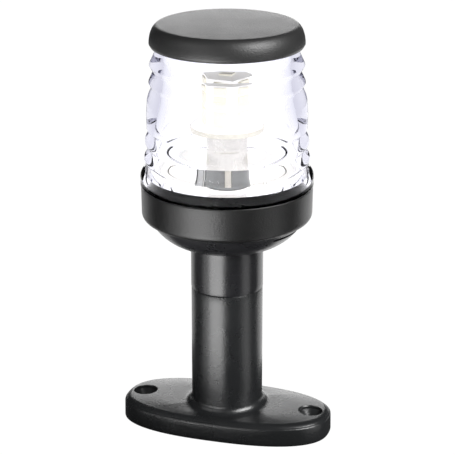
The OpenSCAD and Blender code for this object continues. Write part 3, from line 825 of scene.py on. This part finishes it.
def make_bracket():
    base_z, top_z = low("socket_bracket").z, high("socket_bracket").z
    thick = 0.8
    plate = turned("plate", rounded([
        (6, base_z, 0.1), (9.5, base_z, 0.15), (9.5, base_z + thick, 0.2), (6, base_z + thick, 0.2)]),
        even_angles(96))

    def straps(bm):
        for side in (-1, 1):
            block(bm, (side * 13.35, 0, base_z + thick / 2), (8.7, 6, thick), bevel=0.2)
        block(bm, (-11, 0.5, (base_z + top_z) / 2), (thick, 6, top_z - base_z), bevel=0.2)
        web_low = base_z + thick
        block(bm, (-9.9, -2.1, (web_low + top_z) / 2), (2.9, thick, top_z - web_low), bevel=0.2)

    piece = merged("holder_bracket", [plate, new_piece("straps", straps)])
    settle(piece, "base", ZINC, "zinc_steel", "socket_bracket")


def make_bracket_screws():
    head_z = HOLDER_LOW
    parts = []
    for side in (-1, 1):
        outline = [(0, 75.2), (1.0, 75.2), (1.45, 76)]
        turns = 6
        for i in range(turns):
            z = 76.1 + (head_z - 76.3) * i / turns
            outline += [(1.45, z), (1.2, z + 0.15), (1.45, z + 0.3)]
        outline += [(1.45, head_z - 0.05), (1.45, head_z), (2.8, head_z)]
        outline += [(2.8, head_z + 0.9)] + arc(1.7, head_z + 1.0, 1.1, 0, 90, 8) + [(0, head_z + 2.1)]
        screw = turned(f"screw_{side}", outline, even_angles(48))

        def recess(bm):
            block(bm, (0, 0, head_z + 2), (3.2, 0.7, 2))
            block(bm, (0, 0, head_z + 2), (0.7, 3.2, 2))

        cut_with(screw, new_piece("cutter_cross", recess))
        screw.data.transform(shift(side * BOSS_X, 0, 0))
        parts.append(screw)
    settle(merged("holder_screws", parts), "base", ZINC, "zinc_steel", "bracket_screws")


def make_contacts():
    low_z, top_z = 86.0, high("contact_plungers").z
    outline = [(0, 83)] + rounded([
        (0.001, 83), (1.1, 83, 0.2), (1.1, low_z), (2.0, low_z, 0.1), (2.0, top_z, 0.6), (0.001, top_z)
    ]) + [(0, top_z)]
    plungers, springs = [], []
    for side in (-1, 1):
        plunger = turned(f"plunger_{side}", outline, even_angles(48))
        plunger.data.transform(shift(side * CONTACT_X, 0, 0))
        plungers.append(plunger)
        wire, coil_r, turns = 0.25, 1.62, 5
        foot, head = low("contact_springs").z + wire, low_z - wire
        points = []
        for i in range(turns * 24 + 1):
            a = TURN * i / 24
            z = foot + (head - foot) * i / (turns * 24)
            points.append((side * CONTACT_X + coil_r * math.cos(a), coil_r * math.sin(a), z))
        springs.append(tube_curve(f"spring_{side}", points, wire))
    settle(merged("contact_pins", plungers), "contacts", BRASS, "brass", "contact_plungers")
    piece = settle(merged("contact_coils", springs), "base", SPRING_STEEL, "spring_steel", "contact_springs")
    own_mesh(piece)


def make_leads():
    for node, side, material, slot in (
        ("lead_positive", 1, RED_INSULATION, "red_insulation"),
        ("lead_negative", -1, BLACK_INSULATION, "black_insulation")
    ):
        z0, z1 = low(node).z, high(node).z
        points = []
        for i in range(49):
            u = i / 48
            sway = 2.2 * math.sin(math.pi * u) ** 2
            points.append((side * (4 + (CONTACT_X - 4) * u), sway, z0 + (z1 - z0) * u))
        settle(tube_curve(f"{node}_wire", points, 0.9), "base", material, slot, node)


# ----------------------------------------------------------------------- lamp
LAMP_R = high("lamp_cap").x
DISC_R = high("lamp_disc").x
DISC_LOW = low("lamp_disc").z
DISC_TOP = high("lamp_disc").z
TOWER_TOP = high("lamp_tower").z
TOWER_R = high("lamp_tower").x


def make_lamp_cap():
    z0, z1 = low("lamp_cap").z, high("lamp_cap").z
    outside = [(LAMP_R - 0.5, z0), (LAMP_R - 0.15, z0), (LAMP_R, z0 + 0.2)]
    outside += line((LAMP_R, z0 + 0.4), (LAMP_R, 108.6), 8)
    outside += [(LAMP_R, 108.6), (LAMP_R - 0.18, 108.9), (LAMP_R - 0.18, 109.5), (LAMP_R, 109.8)]
    outside += line((LAMP_R, 110), (LAMP_R, z1 - 0.1), 6)
    outside += [(LAMP_R, z1), (LAMP_R - 0.5, z1)]
    shell = turned("lamp_shell", outside, even_angles(128))
    settle(shell, "lamp", NICKEL, "nickel_plate", "lamp_cap")
    base_low, base_top = low("lamp_base").z, high("lamp_base").z
    r = high("lamp_base").x
    plug = [(0, base_low)] + rounded([
        (0.001, base_low), (r, base_low, 0.5), (r, base_top, 0.2), (0.001, base_top)]) + [(0, base_top)]
    piece = turned("lamp_insulator", plug, even_angles(96))
    settle(piece, "lamp", BLACK_INSULATOR, "black_insulator", "lamp_base")
    pads = []
    pad_low = low("lamp_pads").z
    for side in (-1, 1):
        dome = [(0, pad_low)] + arc(0, pad_low + 1.6, 1.6, -84, -40, 6) + [(1.6, base_low), (0, base_low)]
        dome = [(r, min(z, base_low)) for r, z in dome]
        pad = turned(f"pad_{side}", dome, even_angles(40))
        pad.data.transform(shift(side * CONTACT_X, 0, 0))
        pads.append(pad)
    settle(merged("solder_pads", pads), "lamp", SOLDER, "solder", "lamp_pads")


def make_lamp_pins():
    parts = []
    reach = high("lamp_pins").y
    for z, angle in zip(PIN_HEIGHTS, PIN_ANGLES):
        outline = [(0, 6.3), (PIN_R, 6.3), (PIN_R, reach - 0.3), (PIN_R - 0.1, reach - 0.1),
                   (PIN_R - 0.35, reach), (0, reach)]
        pin = turned("pin", outline, even_angles(40))
        lying = Matrix.Rotation(angle, 4, "Z") @ Matrix.Rotation(math.pi / 2, 4, "Y")
        pin.data.transform(shift(0, 0, z) @ lying)
        parts.append(pin)
    settle(merged("bayonet_pins", parts), "lamp", NICKEL, "nickel_plate", "lamp_pins")


def make_disc():
    well = DISC_TOP - 0.25
    outline = [(0, DISC_LOW)] + rounded([
        (0.001, DISC_LOW), (DISC_R, DISC_LOW, 0.3), (DISC_R, DISC_TOP, 0.15), (DISC_R - 0.2, DISC_TOP),
        (DISC_R - 0.2, well), (0.001, well)
    ]) + [(0, well)]
    settle(turned("lamp_board", outline), "lamp", CREAM_BOARD, "cream_board", "lamp_disc")
    face_low, face_r = DISC_TOP - 0.26, DISC_R - 0.25
    face = [(0, face_low)] + rounded([
        (0.001, face_low), (face_r, face_low), (face_r, DISC_TOP, 0.1), (0.001, DISC_TOP)
    ]) + [(0, DISC_TOP)]
    settle(turned("lamp_board_face", face), "lamp", WHITE_BOARD, "cream_board", "lamp_disc")


def make_tower():
    face_r = TOWER_R * math.cos(math.pi / 6)
    board_w = TOWER_R - 0.5
    height = TOWER_TOP - DISC_TOP

    def boards(bm):
        for i in range(6):
            turn = math.radians(30 + 60 * i)
            centre = (face_r - 0.6, 0, DISC_TOP + height / 2 - 0.15)
            block(bm, centre, (1.2, board_w, height - 0.3), 0.12, turn)

    core_r, core_low, core_top = face_r - 1.1, DISC_TOP - 0.2, TOWER_TOP - 0.6
    core = [(0, core_low), (core_r, core_low), (core_r, core_top), (0, core_top)]
    lid = [(0, TOWER_TOP - 1)] + rounded([
        (0.001, TOWER_TOP - 1), (TOWER_R, TOWER_TOP - 1, 0.15), (TOWER_R, TOWER_TOP, 0.15), (0.001, TOWER_TOP)
    ]) + [(0, TOWER_TOP)]
    parts = [
        new_piece("boards", boards),
        turned("core", core, even_angles(48)),
        turned("lid", lid, [math.radians(60 * i) for i in range(6)])
    ]
    settle(merged("lamp_tower_boards", parts), "lamp", WHITE_BOARD, "white_board", "lamp_tower")


def make_chips():
    face_r = TOWER_R * math.cos(math.pi / 6)
    width, thick, pitch = 5.0, 0.9, 5.7
    first = low("led_chips").z + width / 2

    def chips(bm):
        for i in range(6):
            turn = math.radians(30 + 60 * i)
            for row in range(3):
                z = first + pitch * row
                block(bm, (face_r + thick / 2 - 0.05, 0, z), (thick - 0.1, width, width), 0.15, turn)
                block(bm, (face_r + thick - 0.15, 0, z), (0.3, width - 1.4, width - 1.4), 0.1, turn)
        block(bm, (0, 0, TOWER_TOP + thick / 2), (width, width, thick), 0.15)

    settle(new_piece("led_packages", chips), "lamp", PHOSPHOR, "phosphor", "led_chips")


def dress_inner_nodes():
    """CAD nodes that stay as they are get their finish."""
    finishes = {
        "terminal_block": WHITE_NYLON, "terminal_clamps": BRASS, "terminal_screws": ZINC,
        "socket_insulator": PHENOLIC, "socket_terminals": BRASS
    }
    for node, material in finishes.items():
        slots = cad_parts[node].data.materials
        slots.clear()
        slots.append(material)


make_foot()
make_foot_seals()
make_bowl()
make_collar()
make_gaskets()
make_lens()
make_cap()
make_deck()
make_holder()
make_bracket()
make_bracket_screws()
make_contacts()
make_leads()
make_lamp_cap()
make_lamp_pins()
make_disc()
make_tower()
make_chips()
dress_inner_nodes()


# ------------------------------------------------------- floor, light, camera
def glowing(name, strength, sampling="NONE"):
    """A plain pale stage finish that gives off light."""
    material, _, shader, _ = node_material(name)
    shader.inputs["Base Color"].default_value = (0.02, 0.02, 0.02, 1)
    shader.inputs["Roughness"].default_value = 1.0
    shader.inputs["Specular IOR Level"].default_value = 0.0
    shader.inputs["Emission Color"].default_value = (1, 1, 1, 1)
    shader.inputs["Emission Strength"].default_value = strength
    material.cycles.emission_sampling = sampling
    return material


def make_stage():
    """A pale floor and a pale surround, seen directly or through clear parts only."""
    plain, through = glowing("stage_white", 1.0), glowing("stage_seen_through", STAGE_GLOW)

    def sheet(bm):
        bmesh.ops.create_circle(bm, cap_ends=True, segments=64, radius=STAGE_R)

    def surround(bm):
        bmesh.ops.create_uvsphere(bm, u_segments=48, v_segments=24, radius=STAGE_R)

    for name, maker, finish in (
        ("floor", sheet, plain), ("surround", surround, plain), ("surround_behind_glass", surround, through)
    ):
        piece = new_piece(name, maker)
        piece.data.materials.append(finish)
        piece.visible_camera = finish == plain
        piece.visible_transmission = finish == through
        piece.visible_glossy = False
        piece.visible_diffuse = False
        piece.visible_shadow = False


def make_world():
    """The dim room round the table."""
    world = bpy.data.worlds.new("studio")
    bpy.context.scene.world = world
    world.use_nodes = True
    shade = world.node_tree.nodes["Background"]
    shade.inputs["Color"].default_value = (0.96, 0.97, 1.0, 1)
    shade.inputs["Strength"].default_value = ROOM_GLOW


def pool(name, start, stop, near, far, radiance):
    """A fan of light just under the table's surface, between two bearings and two radii.

    Bearings are in degrees from the camera's own.
    """
    def fan(bm):
        steps = 12
        columns = []
        for i in range(steps + 1):
            a = math.radians(CAMERA_AZIMUTH + start + (stop - start) * i / steps)
            columns.append([bm.verts.new((math.sin(a) * r, -math.cos(a) * r, 0)) for r in (near, far)])
        for p, q in zip(columns, columns[1:]):
            bm.faces.new((p[0], p[1], q[1], q[0]))

    piece = new_piece(name, fan)
    piece.data.materials.append(glowing(f"{name}_light", radiance, "AUTO"))
    piece.location.z = -0.002
    piece.visible_camera = False
    piece.visible_transmission = False
    piece.visible_shadow = False


def softbox(name, azimuth, elevation, width, height, radiance):
    """A softbox at a bearing from the camera's own; all its angles are in degrees."""
    a, e = math.radians(CAMERA_AZIMUTH + azimuth), math.radians(elevation)
    away = Vector((math.sin(a) * math.cos(e), -math.cos(a) * math.cos(e), math.sin(e)))
    light = bpy.data.lights.new(name, "AREA")
    light.shape = "RECTANGLE"
    light.size = 2 * SOFTBOX_FAR * math.tan(math.radians(width / 2))
    light.size_y = 2 * SOFTBOX_FAR * math.tan(math.radians(height / 2))
    light.energy = radiance * math.pi * light.size * light.size_y
    lamp = bpy.data.objects.new(name, light)
    lamp.location = SOFTBOX_AIM + away * SOFTBOX_FAR
    lamp.rotation_mode = "QUATERNION"
    lamp.rotation_quaternion = away.to_track_quat("Z", "Y")
    lamp.visible_camera = False
    lamp.visible_transmission = False
    bpy.context.scene.collection.objects.link(lamp)


STAGE_GLOW = 1.7
STAGE_R = 6.0
ROOM_GLOW = 0.06
SOFTBOX_FAR = 1.5
SOFTBOX_AIM = Vector((0, 0, 0.09))
CAMERA_AZIMUTH = 17.08
CAMERA_PITCH = 19.08
CAMERA_DISTANCE = 0.6586
CAMERA_HEIGHT = 0.3071
CAMERA_LENS = 147.0
CAMERA_SHIFT = 0.4 / 455


def make_camera():
    a = math.radians(CAMERA_AZIMUTH)
    data = bpy.data.cameras.new("camera")
    data.lens = CAMERA_LENS
    data.sensor_width = 36.0
    data.shift_x = CAMERA_SHIFT
    camera = bpy.data.objects.new("camera", data)
    camera.location = (math.sin(a) * CAMERA_DISTANCE, -math.cos(a) * CAMERA_DISTANCE, CAMERA_HEIGHT)
    camera.rotation_euler = (math.radians(90 - CAMERA_PITCH), 0, a)
    bpy.context.scene.collection.objects.link(camera)
    bpy.context.scene.camera = camera


make_stage()
make_world()
pool("table_left_far", -80, -56, 0.075, 0.9, 1.8)
pool("table_left_mid", -56, -34, 0.075, 0.9, 8.0)
pool("table_left_near", -34, -11, 0.075, 0.9, 8.5)
pool("table_right", 48, 74, 0.06, 0.7, 1.5)
pool("table_back_right", 112, 165, 0.07, 0.6, 1.4)
pool("table_back_left", 195, 235, 0.09, 0.6, 0.9)
softbox("top_right", 54, 34, 36, 28, 21.0)
softbox("top_left", -50, 30, 50, 24, 1.9)
softbox("low_behind", 180, 11, 30, 26, 3.1)
make_camera()
bpy.context.scene.view_settings.view_transform = "Standard"
